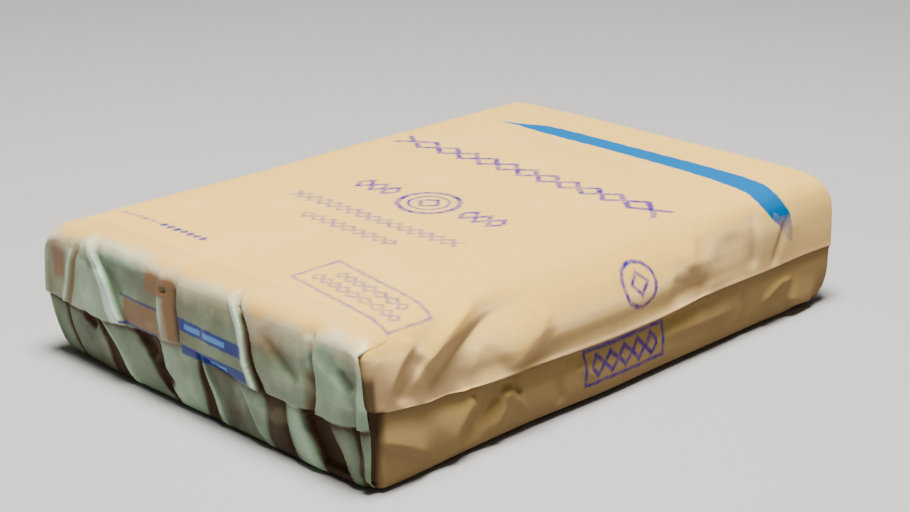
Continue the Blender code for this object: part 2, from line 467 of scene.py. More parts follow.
def quads_of(numbers):
    """Four vertex numbers for each cell of a grid of numbers."""
    return cell_corners(numbers).reshape(-1, 4)


def make_piece(name, points_mm, quads, flat_map, attributes):
    """Puts the arrays into a mesh object. flat_map is one (u, v) for each corner of each quad, in metres,
    and attributes are the numbers that the material reads, one for each point."""
    mesh = bpy.data.meshes.new(name)
    mesh.vertices.add(len(points_mm))
    mesh.vertices.foreach_set("co", (points_mm * MM).astype(np.float32).ravel())
    mesh.loops.add(quads.size)
    mesh.loops.foreach_set("vertex_index", quads.astype(np.int32).ravel())
    mesh.polygons.add(len(quads))
    mesh.polygons.foreach_set("loop_start", np.arange(0, quads.size, 4, dtype=np.int32))
    mesh.update(calc_edges=True)
    mesh.validate()
    mesh.shade_smooth()
    mesh.uv_layers.new(name="paper").data.foreach_set("uv", flat_map.astype(np.float32).ravel())
    for label, values in attributes.items():
        layer = mesh.attributes.new(label, "FLOAT", "POINT")
        layer.data.foreach_set("value", values.astype(np.float32).ravel())
    piece = bpy.data.objects.new(name, mesh)
    bpy.context.scene.collection.objects.link(piece)
    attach(piece, "root")
    print(name, len(points_mm), "points", len(quads), "quads")
    return piece


# %% Sharp edges
def sharpen(piece, chosen):
    """Marks an edge sharp where chosen, one yes or no for each point, says yes for both of its ends."""
    ends = np.zeros(len(piece.data.edges) * 2, np.int32)
    piece.data.edges.foreach_get("vertices", ends)
    sharp = chosen[ends.reshape(-1, 2)].all(axis=1)
    piece.data.attributes.new("sharp_edge", "BOOLEAN", "EDGE").data.foreach_set("value", sharp)
    print(piece.name, "has", sharp.sum(), "sharp edges")


# %% [markdown]
# Under the sheets the body's ends are hollow, so that a deep pleat of a sheet doesn't meet the body. The
# body's paper map is the flat tube: the length along the sack and the way round it.

# %% Hollow of an end
DISH_HEIGHT, DISH_WIDTH, DISH_SLOPE = 105, 340, 9


def dish(shape, depth, start=0):
    """A flat-bottomed hollow: 0 at the patch's edge and its whole depth DISH_SLOPE mm further in. On the
    side towards -Y it begins start mm in."""
    up, across = np.linspace(0, 1, shape[0])[:, None], np.linspace(0, 1, shape[1])[None]
    rise = smooth_step(np.minimum(up, 1 - up) * DISH_HEIGHT, 0, DISH_SLOPE)
    front = smooth_step(across * DISH_WIDTH, start, start + DISH_SLOPE)
    return depth * rise * front * smooth_step((1 - across) * DISH_WIDTH, 0, DISH_SLOPE)


rows, columns = body_points.shape[:2]
wall_numbers = np.arange(rows * columns).reshape(rows, columns)
near_patch, far_patch = patch_of(body_points[0], BODY_CELLS), patch_of(body_points[-1], BODY_CELLS)
near_patch[..., 0] += dish(near_patch.shape, 8.0, 5.0)
far_patch[..., 0] -= dish(far_patch.shape, 4.5)
near_numbers = patch_numbers(0, rows * columns, BODY_CELLS)
inner_count = (near_patch.shape[0] - 2) * (near_patch.shape[1] - 2)
far_numbers = patch_numbers((rows - 1) * columns, rows * columns + inner_count, BODY_CELLS)
body_vertices = np.concatenate([body_points.reshape(-1, 3), near_patch[1:-1, 1:-1].reshape(-1, 3),
                                far_patch[1:-1, 1:-1].reshape(-1, 3)])
wrapped = np.concatenate([wall_numbers, wall_numbers[:, :1]], axis=1)
end_quads = np.concatenate([quads_of(near_numbers), quads_of(far_numbers.T)])
body_quads = np.concatenate([quads_of(wrapped), end_quads])

unrolled = np.stack([np.concatenate([x_plain, x_plain[:, :1]], axis=1),
                     np.broadcast_to(girth, (rows, columns + 1))], -1)
wall_map = cell_corners(unrolled).reshape(-1, 2)
body_map = np.concatenate([wall_map, body_vertices[end_quads][..., :2].reshape(-1, 2)]) * MM
print("inside each end of the body are", inner_count, "points")

# %% [markdown]
# The near end is closed with a sheet of coated paper, pasted on over the folded tube. It has dried into
# two rows of pleats, one above and one below the end's own fold, with flat facets between sharp ridges. A
# pleat is a straight edge from the fold to the border, so a row of pleats is a table of knots: where each
# edge starts and ends, how far it stands out, and what the paper looks like there. Between two knots
# everything runs in a straight line.

# %% Pleats of the near end
END_FOLD_HEIGHTS = [(-181, 49), (-160, 46.5), (-143, 44), (-124, 45), (-90, 45), (-58, 44), (-20, 51),
    (7, 55), (36, 52), (81, 50), (109, 46), (147, 47), (160, 49), (181, 52)]
# y at the fold, y at the border, height, tone from 0 (dark: painted shade in the deep pleats) to 1 (pale:
# painted highlight on the ridges), share of bare tan paper
UPPER_PLEATS = [(-184, -184, 0.0, .52, 0), (-172, -172, 1.0, .60, 0), (-168.5, -169, 1.0, .62, 0),
    (-166, -167, 0.0, .42, 0), (-158, -160, 0.2, .50, 0), (-146, -150, 0.8, .58, 0),
    (-127, -131, 0.9, .63, 0), (-125, -125, -3.0, .12, .6), (-121, -122, -2.6, .22, .5),
    (-116, -113, 0.3, .50, .1), (-80, -66, 0.9, .54, .15), (-76, -54, 0.3, .46, .3),
    (-74, -51.5, -4.0, .03, .5), (-66.5, -49, -4.0, .00, .5), (-65, -47.5, 1.5, .95, 0),
    (-61.5, -43, 1.3, .90, 0), (-58, -40, 0.1, .50, .1), (-20, -15, 0.7, .52, .15), (14, 12, 0.5, .46, .3),
    (16.5, 17, -1.8, .14, .6), (22, 22, -0.6, .45, .6), (27, 29, 0.4, .55, .3), (28.5, 30.5, 1.4, .80, .1),
    (34.5, 35, 1.6, .84, .1), (37, 37, 0.2, .50, .3), (58, 58, 0.1, .50, .1), (71, 100, -1.6, .50, 0),
    (78, 112, -2.2, .44, 0), (81, 116, 1.9, .92, 0), (92, 121, 1.6, .93, 0), (97, 124, 0.3, .70, .1),
    (120, 125.5, 0.6, .74, .05), (147, 126.5, 0.2, .70, .15), (149, 128, -1.3, .42, 1),
    (153, 130, 0.2, .55, .6), (156, 133, 1.4, .95, 0), (160, 137, 0.3, .66, .3), (172, 162, 0.4, .60, .5),
    (178, 176, 0.8, .98, 0), (186, 186, 0.0, .9, 0)]
LOWER_PLEATS = [(-184, -184, 0.0, .50, 0), (-176.5, -175.5, 0.8, .60, 0), (-167, -171.5, 0.4, .58, 0),
    (-165.5, -170.5, -2.6, .14, .3), (-161, -166.5, -2.0, .20, .3), (-159.5, -165, 0.4, .46, 0),
    (-152, -162, 1.2, .55, 0), (-142, -160, 1.3, .45, 0), (-136.5, -158.5, 0.6, .38, 0),
    (-134.5, -157, -5.5, .03, .4), (-109.5, -132, -5.5, .03, .4), (-108, -131, 0.8, .70, 0),
    (-103, -124, 2.0, .88, 0), (-96, -110, 1.2, .74, 0), (-92.5, -103, 0.0, .52, 0),
    (-91, -101, -2.6, .10, .5), (-88, -98, -2.8, .14, .5), (-85, -94, -1.6, .22, .1),
    (-72, -79, -1.2, .30, .1), (-70, -77.5, 0.8, .60, 0), (-42, -75.5, 1.3, .68, 0),
    (-38, -72, -0.3, .46, 0), (-12, -40, -0.9, .44, 0), (-9, -33, 0.0, .50, 0), (-7, -29, 1.3, .82, 0),
    (-5.5, -23, 0.6, .68, 0), (-4.5, -20, -2.8, .06, .3), (-2.5, -8, -2.2, .12, .3), (-1, -4, 0.3, .68, 0),
    (22, 6, 0.9, .72, 0), (40, 22, 1.5, .84, 0), (43, 26, 1.0, .72, 0), (45, 28, -2.8, .14, .4),
    (60, 29, -3.2, .06, .4), (70, 30, -1.8, .20, .4), (74, 31, 0.4, .56, 0), (90, 52, 0.6, .62, 0),
    (105, 70, 0.7, .70, 0), (109, 75, 1.8, .90, 0), (112, 78, 0.8, .72, 0), (113, 79, -1.5, .22, .5),
    (116, 101, -1.8, .12, .5), (117.5, 103, 0.3, .50, .1), (134, 126, 0.4, .46, 0),
    (154, 146, 0.5, .58, 0), (157, 149, -1.3, .18, .3), (160, 152, 0.4, .55, 0), (172, 164, 0.6, .60, 0),
    (178, 170, 1.0, .90, 0), (186, 186, 0.0, .80, 0)]
LIP, BORDER_TOP = 2.6, 103.0


def pleated(table, y, share):
    """Height, tone and bareness at y, where share is 0 at the fold and 1 at the border: the two knots on
    either side of y are found first, and the values run in a straight line between them."""
    knots = np.array(table, float)
    edges = knots[:, 0, None] + (knots[:, 1] - knots[:, 0])[:, None] * share
    left = np.clip((edges <= y).sum(axis=0) - 1, 0, len(knots) - 2)
    pick = np.arange(len(y))
    start, end = edges[left, pick], edges[left + 1, pick]
    part = np.clip((y - start) / (end - start), 0, 1)[:, None]
    return (knots[left, 2:] * (1 - part) + knots[left + 1, 2:] * part).T


# a change of tone is painted light: darker along hollow creases as painted shade, paler along raised ones
# as painted highlight
END_CREASES = [  # line of (y, z), height, left and right reach, change of tone, change of bareness
    ([(-76, 90), (-86, 80), (-100, 70), (-114, 60)], -2.8, 7, 16, -.16, -.1),
    ([(-122, 92), (-134, 80), (-150, 72), (-160, 62)], 1.2, 10, 8, .10, 0),
    ([(101, 92), (92, 80), (80, 69)], -1.2, 4, 18, -.04, 0),
    ([(-150, 86), (-158, 78), (-166, 72)], -1.6, 8, 8, -.22, 0),
    ([(135, 43), (127, 40), (118, 35)], -2.8, 5, 8, -.55, .3),
    ([(66, 47), (57, 40), (50, 31)], -2.0, 8, 5, -.40, .1),
    ([(48, 30), (37, 23), (26, 15)], -2.4, 3, 4, -.45, .1),
    ([(-122, 100), (-120, 86), (-123, 68)], 2.0, 6, 6, .34, -.6),
    ([(31, 93), (30, 86)], -2.0, 4, 4, -.50, .0),
    ([(112, 97), (84, 98), (50, 96)], 1.2, 5, 7, .22, 0),
    ([(150, 96), (120, 88), (100, 86)], -1.0, 6, 6, -.06, .1),
]
# middle (y, z) and half size of where the coating has come off, how much of it, softness of the border
TAN_PATCHES = [
    ((33, 95), (18, 12), 1.0, .2), ((60, 62), (21, 9.5), 1.0, .12), ((156, 78), (7, 12), .8, .6),
    ((25, 66), (8, 16), .7, .4), ((-80, 88), (18, 12), .8, .7), ((150, 100), (14, 8), .4, .6)]
# y, height where the green gives way to a pale band, a painted highlight along the rim, height where
# that is whole; the kraft is whole 8 mm above
CROWN = [(-181, 82, 98), (-164, 82, 98), (-151, 82, 101), (-138, 94, 101), (-124, 84, 95), (-111, 76, 98),
    (-97, 75, 97), (-83, 72, 95), (-69, 72, 92), (-55, 92, 101), (-40, 76, 101), (-26, 78, 101),
    (-10, 80, 100), (5, 82, 98), (15, 87, 100), (21, 96, 101), (44, 96, 101), (55, 93, 103), (68, 96, 104),
    (85, 97, 104), (102, 95, 103), (120, 88, 100), (138, 84, 96), (181, 86, 98)]


def end_relief(y, z, turned):
    """Height, tone, bareness and crown of the near end's paper at points (y, z), with the upper row over
    the lower one. The tone carries painted light: painted shade in hollows and under the fold, painted
    highlights on ridges. The crown runs from 0 on the green through 0.5 on a pale band, a painted
    highlight along the rim, to 1 on the kraft. turned is 0 on top and 1 on the flat end."""
    fold = table_at(END_FOLD_HEIGHTS, y, 2)
    bent = y + 1.5 * np.sin(z / 8 + y / 21)
    lower = pleated(LOWER_PLEATS, bent, np.clip((fold - z) / fold, 0, 1))
    upper = pleated(UPPER_PLEATS, bent, np.clip((z - fold) / (BORDER_TOP - fold), 0, 1))
    over = smooth_step(z - fold, -2.4, -0.2)
    height, tone_and_painted_light, bare = lower + (upper - lower) * over
    height = height + LIP * over
    # painted shade: the lower row is darker all over, and darkest in a band just under the upper row's lip
    tone_and_painted_light = tone_and_painted_light - (0.12 + 0.30 * np.exp(-np.abs(z - fold + 3.5) / 2.0)) * (1 - over)
    for line, rise, left, right, painted_light_change, bare_change in END_CREASES:
        shape = crease_along(y, z, line, left, right)
        height, tone_and_painted_light, bare = height + rise * shape, tone_and_painted_light + painted_light_change * shape, bare + bare_change * shape
    for middle, reach, share, soft in TAN_PATCHES:
        away = np.maximum(np.abs(y - middle[0]) / reach[0], np.abs(z - middle[1]) / reach[1])
        bare = bare + share * smooth_step(-away, -1 - soft, -1 + soft)
    height = height * (0.2 + 0.8 * smooth_step(y, -179, -168))
    heights = np.array(CROWN, float)
    low, whole = (np.interp(y, heights[:, 0], heights[:, k]) for k in (1, 2))
    crown = 0.5 * np.clip((z - low) / (whole - low), 0, 1) + 0.5 * np.clip((z - whole) / 8, 0, 1)
    crown = np.maximum(crown, smooth_step(z, 95, 99) * (1 - smooth_step(turned, 0.1, 0.7)))
    return height, {"tone_and_painted_light": np.clip(tone_and_painted_light, 0, 1), "bare": np.clip(bare, 0, 1), "crown": crown}


# %% [markdown]
# Both end sheets are cut from the same skin as the body, a little further out, and go round the rim onto
# the sides. On top the near sheet reaches further. Solidify then gives the sheets the thickness of stiff
# paper, inwards.

# %% End covers
COVER_CELLS, COVER_ROWS = (42, 50, 150), 16
CLEARANCE, SHEET_THICKNESS, RIM_ARC = 0.4, 0.3, 8.0
cover_rings = ring_set_of(ring_places(*COVER_CELLS))
cover_column = np.arange(len(cover_rings[0]))
cover_z = cover_rings[2][:, 1]
on_cover_front = cover_column < len(cover_column) // 2


def cover_skin(end, border, sink):
    """Rows of the sheet, towards +X as the body's are, the patch on the end, and the share by which each
    row faces the end. border is where the sheet ends, in mm round the rim: 0 where the patch begins and
    RIM_ARC where the wall does. Towards its border the sheet dips by sink into the paper under it, so
    that no step shows."""
    run = border * np.linspace(1, 0, COVER_ROWS)[::end, None]
    turn = QUARTER * np.clip(1 - run / RIM_ARC, 0, 1)
    along = end * (1 - np.clip(run - RIM_ARC, 0, None) / (LENGTH / 2))
    sheet = skin(cover_rings, along, turn)
    sideways = np.broadcast_to(-cover_rings[3], turn.shape + (2,)) * np.cos(turn)[..., None]
    out = np.concatenate([end * np.sin(turn)[..., None], sideways], axis=-1)
    clearance = CLEARANCE - sink * smooth_step(run, 0.4 * border, border)
    patch = patch_of(sheet[0 if end < 0 else -1], COVER_CELLS)
    return sheet + out * clearance[..., None], patch + np.array([end, 0, 0]) * CLEARANCE, np.sin(turn) ** 2


def make_cover(name, end, border, sink, relief_of):
    """One mesh from the rows and the patch. relief_of gives the height and the looks of every point."""
    sheet, patch, share = cover_skin(end, border, sink)
    rows, columns = sheet.shape[:2]
    rim_row = 0 if end < 0 else rows - 1
    numbers = np.arange(rows * columns).reshape(rows, columns)
    patch_grid = patch_numbers(rim_row * columns, rows * columns, COVER_CELLS)
    points = np.concatenate([sheet.reshape(-1, 3), patch[1:-1, 1:-1].reshape(-1, 3)])
    share = np.concatenate([share.ravel(), np.ones(len(points) - rows * columns)])
    deep = np.concatenate([np.zeros(rows * columns), dish(patch.shape, 1.0)[1:-1, 1:-1].ravel()])
    height, looks = relief_of(points[:, 1], points[:, 2], share)
    height = np.where(height < 0, height * deep, height)
    points[:, 0] += end * height * share
    faces = np.concatenate([quads_of(np.concatenate([numbers, numbers[:, :1]], axis=1)),
                            quads_of(patch_grid if end < 0 else patch_grid.T)])
    flat_map = points[faces][..., 1:].reshape(-1, 2) * MM
    piece = make_piece(name, points, faces, flat_map, looks)
    border_row = rows - 1 if end < 0 else 0
    sharpen(piece, np.arange(len(points)) // columns == border_row)
    thicken = piece.modifiers.new("paper thickness", "SOLIDIFY")
    thicken.thickness, thicken.offset = SHEET_THICKNESS * MM, -1.0
    return piece


NEAR_SINK, FAR_SINK = 0.45, 0.6
front_border = np.interp(cover_z, (38, 52), (3.6, 2.3))
near_border = np.where(on_cover_front, front_border, 10.0)
near_border = smoothed(np.select([cover_z > 98, cover_z < 2], [21.0, 5.0], near_border), 6)
near_cover = make_cover("near_end_sheet", -1, near_border, NEAR_SINK, end_relief)

# %% [markdown]
# The far end can't be seen, so its sheet is a guess, finished plainly.

# %% Far sheet
def far_relief(y, z, turned):
    """Plain kraft with one fold across, and creases at seeded random places above and below it, under an
    even film of cement powder. What stands out is painted paler as a painted highlight, and hollows and
    the paper below the fold are painted darker as painted shade."""
    random = np.random.default_rng(23)
    lip = LIP * smooth_step(z - FOLD - 2 * np.sin(y / 60), -2.6, -0.2) * smooth_step(y, -179, -150)
    folds = 0.0 * y
    for _ in range(28):
        start, lean, row = random.uniform(-160, 160), random.uniform(-24, 24), random.random() < 0.5
        line = [(start, 48), (start + lean / 2, 72), (start + lean, 97)] if row else \
            [(start, 45), (start + lean / 2, 26), (start + lean, 6)]
        shape = crease_along(y, z, line, random.uniform(4, 9), random.uniform(8, 22))
        folds = folds + random.uniform(-3.8, 2.0) * shape
    # a film of cement powder, with painted light: raised creases paler, hollows and the paper below the
    # fold darker
    dust_and_painted_light = 0.32 + 0.11 * folds.clip(-3, 3) - 0.1 * (lip < 0.5 * LIP)
    return lip + folds.clip(-3.8, 3.0), {"dust_and_painted_light": dust_and_painted_light}


far_border = np.full(len(cover_column), 5.0)
far_cover = make_cover("far_end_sheet", 1, far_border, FAR_SINK, far_relief)

# %% [markdown]
# What lies on the paper follows its shape, so it is worked out for each point: painted shade over the
# panel below the fold, a painted shadow right under the fold, and painted shade where the body meets
# the near sheet. The dust numbers are partly the film of cement dust, whole on what faces up and thinner
# on walls, and partly painted light: paler on ridges and towards the far end, painted shade in hollows,
# and painted light and shade in bands along the long side above the fold.

# %% Body piece
# painted shade: the whole panel below the fold is painted darker
below_fold = np.where(up_side < 0, 1.0, 0.0)
below_fold[:, [fold_column, -fold_column]] = 0.0
# painted shadow: darkest right under the fold, fading over about 6 mm below it
shadow = below_fold * np.exp(-np.maximum(-up_side, 0) / 6.0)
# painted shade where the body meets the near sheet: along the seam up past the fold, and low down at the
# foot of the corner
seam_painted_shade = 0.85 * smooth_step(-up_side, -30, -20) * smooth_step(-x_plain, 245.5, 248.5)
foot_reach = -x_plain - 2.5 * smooth_step(-up_side, 8, 25)
foot_painted_shade = smooth_step(-up_side, -2, 2) * smooth_step(foot_reach, 238, 244)
corner_painted_shade = np.maximum(seam_painted_shade, foot_painted_shade) * on_front
ends_plain = np.zeros(len(body_vertices) - rows * columns)
# painted shade on the near end under the sheet, darkest below the fold
near_end_painted_shade = ends_plain.copy()
near_end_painted_shade[:inner_count] = 0.9 - 0.6 * smooth_step(near_patch[1:-1, 1:-1, 2].ravel(), 45, 75)
# cement dust on what faces up, plus painted light from the creases: ridges paler, hollows darker
dust_and_painted_light = normals_of(body_points)[..., 2] + relief.clip(-3, 3) * np.where(up_side > 0, 0.09, 0.02)
# painted light: the long side is painted paler towards the far end
dust_and_painted_light = dust_and_painted_light + 0.16 * smooth_step(x_plain, 185, 235) * smooth_step(up_side, 4, 30) * on_front
# painted light and shade in bands above the fold over the middle, and painted shade next to the fold at the
# near end and past the middle towards the far end
middle = smooth_step(x_plain, -148, -112) * (1 - smooth_step(x_plain, 90, 130))
painted_light_bands = np.interp(up_side, (-1, 0, 4, 9, 15, 19, 24, 29, 38),
                   (0, -.35, -.35, .05, .13, -.05, -.22, -.15, 0))
painted_shade_band = smooth_step(up_side, -1, 2) * (1 - smooth_step(up_side, 24, 50))
near_band_shade = 0.44 * smooth_step(-x_plain, 150, 190)
far_band_shade = 0.12 * (smooth_step(x_plain, 90, 130) - smooth_step(x_plain, 150, 200))
dust_and_painted_light = dust_and_painted_light + on_front * (middle * painted_light_bands - painted_shade_band * (near_band_shade + far_band_shade))
sack = make_piece("sack_body_paper", body_vertices, body_quads, body_map, {
    "lower_panel_shade": np.concatenate([below_fold.ravel(), ends_plain]),
    "shadow": np.concatenate([shadow.ravel(), ends_plain]),
    "corner": np.concatenate([corner_painted_shade.ravel(), near_end_painted_shade]),
    "dust_and_painted_light": np.concatenate([dust_and_painted_light.ravel(), ends_plain])})
on_fold = np.isin(np.arange(len(body_vertices)) % columns, (fold_column, columns - fold_column))
on_fold[rows * columns:] = False
sharpen(sack, on_fold)

# %% [markdown]
# The pieces take the places of the three solids, which then aren't shown.

# %% Stand for the solids
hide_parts("sack_body")
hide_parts("near_end_cover")
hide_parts("far_end_cover")
print("three pieces stand for three solids")

# %% [markdown]
# All the finishes are made of nodes. One small function adds a node, so that each line below reads as one
# step. The noises read Object coordinates, which are metres, so their scale is cells in a metre: 16 makes
# clouds of 60 mm, 60 spots of 17 mm, 45 smudges of 22 mm, 170 mottles of 6 mm, and 120 and 140 shake a
# border every 8 and 7 mm.

# %% Node helper and colours
def linear(hex_colour):
    """sRGB hex to linear light: each channel c becomes ((c + 0.055) / 1.055)^2.4, or c / 12.92 where it
    is dark."""
    channels = [int(hex_colour[k:k + 2], 16) / 255 for k in (1, 3, 5)]
    return tuple(c / 12.92 if c <= 0.04045 else ((c + 0.055) / 1.055) ** 2.4 for c in channels) + (1.0,)


def add(tree, kind, inputs=(), **settings):
    """Adds a node, sets it, sets or links its inputs by number or name, and gives back its outputs that
    are in use."""
    node = tree.nodes.new("ShaderNode" + kind)
    for name, value in settings.items():
        setattr(node, name, value)
    for key, value in (inputs.items() if isinstance(inputs, dict) else enumerate(inputs)):
        if isinstance(value, bpy.types.NodeSocket):
            tree.links.new(value, node.inputs[key])
        elif value is not None:
            node.inputs[key].default_value = value
    return [socket for socket in node.outputs if socket.enabled]


def new_material(name):
    """An empty node material and its tree."""
    material = bpy.data.materials.new(name)
    material.use_nodes = True
    material.node_tree.nodes.clear()
    return material, material.node_tree


# %% [markdown]
# Kraft is unbleached spruce fibre, pressed smooth in the paper machine. It gives the eye a warm, matt
# brown with short streaks along the web, paler and yellower under cement dust. A fibre is 0.03 mm across,
# too fine to show, so the streaks are drawn coarser, 1.4 mm across and 5 mm long.

# %% Kraft paper colour, shared by the three papers
def kraft_colour(tree, dust_and_light):
    """Long-fibred brown paper under a film of pale cement powder: the input is 1 where the film is whole,
    and it also carries painted light, paler for a painted highlight and darker for painted shade. Broad
    clouds come from the film, and short streaks from the fibre, which lies along the web."""
    place = add(tree, "TexCoord")[3]
    cloud = add(tree, "TexNoise", {"Vector": place, "Scale": 16.0, "Detail": 3.0, "Roughness": 0.5})[0]
    cloud = add(tree, "MapRange", (cloud, 0.3, 0.7, -0.10, 0.10))[0]
    dust_and_light = add(tree, "Math", (dust_and_light, cloud), operation="ADD", use_clamp=True)[0]
    thin = add(tree, "MapRange", (dust_and_light, 0.0, 0.5, 0.0, 1.0))[0]
    whole = add(tree, "MapRange", (dust_and_light, 0.5, 1.0, 0.0, 1.0))[0]
    colour = add(tree, "Mix", {0: thin, 6: linear("#A88A63"), 7: linear("#E8C27B")}, data_type="RGBA")[0]
    colour = add(tree, "Mix", {0: whole, 6: colour, 7: linear("#D9AE54")}, data_type="RGBA")[0]
    stretched = add(tree, "Mapping", {"Vector": place, "Scale": (0.3, 1.0, 1.0)})[0]
    fibre = add(tree, "TexNoise", {"Vector": stretched, "Scale": 700.0, "Detail": 2.0})[0]
    fibre = add(tree, "MapRange", (fibre, 0.3, 0.7, 0.0, 0.14))[0]
    return add(tree, "Mix", {0: fibre, 6: colour, 7: linear("#967240")}, data_type="RGBA")[0], place


# %% [markdown]
# The print is drawn by distance. For every shape, nodes work out how many mm a point is from the shape's
# stroke, less than 0 inside it. The smallest of these distances belongs to the whole print, and the ink
# lies where it is below 0. The motifs are plain ones: lozenges, rings and frames.

# %% Motifs
def stroke_distance(tree, kind, across, along, half_height, half_cell, pitch, half_length, stroke):
    """Distance in mm to a row of lozenges or rings that repeats every pitch mm along the row, or to a
    frame. A lozenge is |a| / half_cell + |b| / half_height - 1, a ring is the distance from its middle
    less its radius, and a frame is the larger of the two distances past its sides. A stroke of 0 fills
    the motif."""
    size = add(tree, "Math", (across,), operation="ABSOLUTE")[0]
    reach = add(tree, "Math", (along,), operation="ABSOLUTE")[0]
    reach = add(tree, "Math", (reach, half_length), operation="SUBTRACT")[0]
    if kind == "frame":
        size = add(tree, "Math", (size, half_height), operation="SUBTRACT")[0]
        distance = add(tree, "Math", (size, reach), operation="MAXIMUM")[0]
        distance = add(tree, "Math", (distance,), operation="ABSOLUTE")[0]
        return add(tree, "Math", (distance, stroke / 2), operation="SUBTRACT")[0]
    cell = add(tree, "Math", (along, pitch / 2), operation="PINGPONG")[0]
    if kind == "lozenges":
        narrow = half_cell * half_height / math.hypot(half_cell, half_height)
        part = add(tree, "Math", (size, narrow / half_height, -narrow), operation="MULTIPLY_ADD")[0]
        distance = add(tree, "Math", (cell, narrow / half_cell, part), operation="MULTIPLY_ADD")[0]
    else:
        square = add(tree, "Math", (size, size), operation="MULTIPLY")[0]
        square = add(tree, "Math", (cell, cell, square), operation="MULTIPLY_ADD")[0]
        distance = add(tree, "Math", (square,), operation="SQRT")[0]
        distance = add(tree, "Math", (distance, half_height), operation="SUBTRACT")[0]
    if stroke:
        distance = add(tree, "Math", (distance,), operation="ABSOLUTE")[0]
        distance = add(tree, "Math", (distance, stroke / 2), operation="SUBTRACT")[0]
    return add(tree, "Math", (distance, reach), operation="MAXIMUM")[0]


def print_distance(tree, rows, first, second):
    """The nearest stroke of all rows. A row's own axes start at its middle; a lean moves it across as it
    runs along, and a turned row runs along the first coordinate instead of the second."""
    nearest = None
    for kind, middle, turned, lean, *shape in rows:
        a, b = (second, first) if turned else (first, second)
        across_middle, along_middle = middle[::-1] if turned else middle
        along = add(tree, "Math", (b, along_middle), operation="SUBTRACT")[0]
        across = add(tree, "Math", (a, across_middle), operation="SUBTRACT")[0]
        if lean:
            across = add(tree, "Math", (along, -lean, across), operation="MULTIPLY_ADD")[0]
        distance = stroke_distance(tree, kind, across, along, *shape)
        nearest = distance if nearest is None else \
            add(tree, "Math", (nearest, distance), operation="MINIMUM")[0]
    return nearest


# kind, middle (x, girth), turned, lean, half height, half cell, pitch, half length, stroke, all in mm
SACK_PRINT = [
    ("lozenges", (77.5, -5.5), False, 0.0, 10.5, 10.5, 22.0, 132.0, 4.6),
    ("rings", (-32, -6), False, 0.0, 24.0, 0, 200.0, 30.0, 4.4),
    ("rings", (-32, -6), False, 0.0, 15.5, 0, 200.0, 30.0, 2.6),
    ("lozenges", (-32, -6), False, 0.0, 9.0, 9.0, 200.0, 10.0, 3.6),
    ("lozenges", (-32, 50), False, 0.0, 9.0, 6.5, 14.0, 21.0, 4.0),
    ("lozenges", (-32, -62), False, 0.0, 9.0, 6.5, 14.0, 21.0, 4.0),
    ("lozenges", (-4, -240), True, 0.0, 7.5, 7.0, 15.0, 37.0, 3.4),
    ("frame", (-4, -240), True, 0.0, 12.5, 0, 0, 43.0, 2.8),
    ("rings", (12, -186), True, 0.0, 17.0, 0, 200.0, 20.0, 3.6),
    ("lozenges", (12, -186), True, 0.0, 8.5, 8.5, 200.0, 10.0, 3.0),
    ("lozenges", (-203.5, 72), False, 0.0, 4.4, 3.8, 7.4, 26.0, 0),
]
FAINT_PRINT = [
    ("lozenges", (-86, -3), False, 0.0, 6.0, 5.2, 11.0, 88.0, 3.2),
    ("lozenges", (-115, -7), False, 0.0, 5.4, 5.2, 11.0, 50.0, 3.2),
    ("frame", (-197, -106), False, 0.17, 21.0, 0, 0, 50.0, 3.2),
    ("lozenges", (-204, -106), False, 0.17, 4.6, 4.4, 9.0, 40.5, 2.6),
    ("lozenges", (-189, -106), False, 0.17, 4.6, 4.4, 9.0, 31.5, 2.6),
    ("lozenges", (-203, 117), False, 0.0, 3.0, 3.0, 6.0, 18.0, 0),
]
WORN_PRINT = [
    ("lozenges", (149, 0), False, 0.0, 5.0, 4.6, 10.0, 64.0, 3.0),
]
# girth, middle x and half width of the curved stripe; a width less than 0 ends it
STRIPE = [
    (-204, 195, -2), (-196, 191.5, 5), (-186, 186.5, 8.5), (-176, 181.5, 11.5), (-167, 177.5, 12),
    (-150, 175.5, 12.5), (-137, 177, 13), (-119, 180, 13), (-106, 182.3, 12), (-60, 184.8, 10.8),
    (0, 184.5, 10.5), (60, 184.5, 10.5), (81, 184, 8.5), (95, 181, 4), (109, 177.5, 0.8), (118, 176, -2)]


def shaken_mm(tree, place, per_metre, reach):
    """The paper's own two coordinates in mm, moved about by a noise: a soft rubber plate on rough paper
    prints no straight border."""
    flat = add(tree, "UVMap", uv_map="paper")[0]
    shake = add(tree, "TexNoise", {"Vector": place, "Scale": per_metre, "Detail": 2.0})[1]
    shaken = add(tree, "VectorMath", {0: shake, 1: (0.5, 0.5, 0.5)}, operation="SUBTRACT")[0]
    shaken = add(tree, "VectorMath", {0: shaken, "Scale": reach}, operation="SCALE")[0]
    shaken = add(tree, "VectorMath", {0: flat, 1: shaken}, operation="ADD")[0]
    shaken = add(tree, "VectorMath", {0: shaken, "Scale": 1000.0}, operation="SCALE")[0]
    return add(tree, "SeparateXYZ", (shaken,))[:2]


# %% [markdown]
# The sack's own paper gives the eye a matt, dusty brown with hardly any shine. Painted shade darkens the
# panel below the fold, a painted shadow lies right under the fold, and nearly black painted shade lies
# where the body meets the near sheet. Flexo ink is thin and sinks in, so it is as matt as the paper and
# mottled where the plate pressed less. The stripe is the same kind of ink in blue: its middle and its
# width are two curves over the girth.

# %% Sack paper
paper, tree = new_material("sack kraft paper, machine finished, flexo printed")
dust_and_painted_light = add(tree, "Attribute", attribute_name="dust_and_painted_light")[2]
dust_and_light = add(tree, "MapRange", (dust_and_painted_light, -0.4, 0.66, 0.0, 1.0), interpolation_type="SMOOTHSTEP")[0]
colour, place = kraft_colour(tree, dust_and_light)
